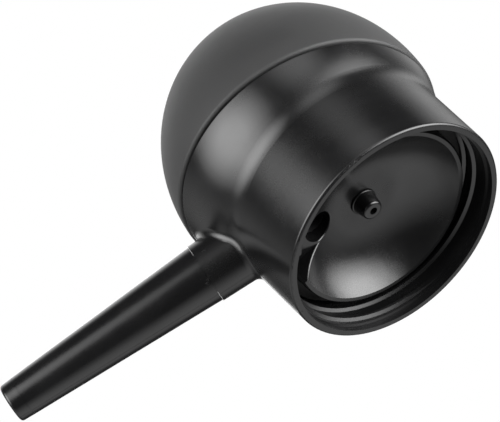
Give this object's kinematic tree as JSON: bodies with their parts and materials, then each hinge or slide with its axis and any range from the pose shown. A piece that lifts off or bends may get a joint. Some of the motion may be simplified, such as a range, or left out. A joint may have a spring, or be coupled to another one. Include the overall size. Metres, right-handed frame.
{
  "type": "squeeze bulb powder blower",
  "caption": "Rubber squeeze bulb on a hard ball-and-cup housing with a long tapered nozzle; the threaded cup screws onto a jar neck and blows its powder or plain air.",
  "frame": {"origin": "centre of the screw cup's mouth, in the plane of its rim", "axes": "+Z from the cup up towards the bulb; +X along the side that the nozzle points to; the object stands on the cup's rim"},
  "size_m": [0.1351, 0.0728, 0.0794],
  "materials": {
    "housing_plastic": "moulded, glossy black",
    "nozzle_plastic": "moulded, glossy black, slightly softer sheen",
    "nipple_plastic": "moulded, glossy black",
    "inner_plastic": "moulded black, half gloss",
    "bulb_rubber": "matte black rubber with a fine grain",
    "seal_rubber": "plain black rubber",
    "hoop_steel": "plain spring steel"
  },
  "bodies": {
    "housing": {"housing": "housing_plastic", "partition_dish": "housing_plastic", "partition_oring": "seal_rubber", "cup_gasket": "seal_rubber", "outlet_elbow": "inner_plastic", "elbow_seal": "seal_rubber", "air_jet_nipple": "nipple_plastic", "jet_valve_body": "inner_plastic", "jet_valve_seat": "inner_plastic", "bulb_clamp_ring": "hoop_steel"},
    "bulb": {"squeeze_bulb": "bulb_rubber", "intake_valve_body": "inner_plastic", "intake_valve_nut": "inner_plastic", "intake_valve_cage": "inner_plastic"},
    "intake_flap": {"intake_valve_flap": "seal_rubber"},
    "jet_flap": {"jet_valve_flap": "seal_rubber"},
    "nozzle": {"nozzle": "nozzle_plastic", "nozzle_oring": "seal_rubber", "nozzle_tip": "nozzle_plastic"}
  },
  "joints": [
    {"name": "bulb_squeeze", "type": "slide", "parent": "housing", "child": "bulb", "axis": [0.1461, 0, -0.9893], "range_m": [0, 0.018], "stiffness_N_per_m": 1100, "deforming": ["squeeze_bulb"]},
    {"name": "intake_flap_open", "type": "slide", "parent": "bulb", "child": "intake_flap", "axis": [0.1461, 0, -0.9893], "range_m": [0, 0.0006]},
    {"name": "jet_flap_open", "type": "slide", "parent": "housing", "child": "jet_flap", "axis": [0, 0, -1], "range_m": [0, 0.0006]},
    {"name": "nozzle_pull_off", "type": "slide", "parent": "housing", "child": "nozzle", "axis": [0.9912, 0, 0.1323], "range_m": [0, 0.012]}
  ],
  "couplings": [
    {"joint": "jet_flap_open", "follows": "bulb_squeeze", "ratio": 0.033333}
  ]
}
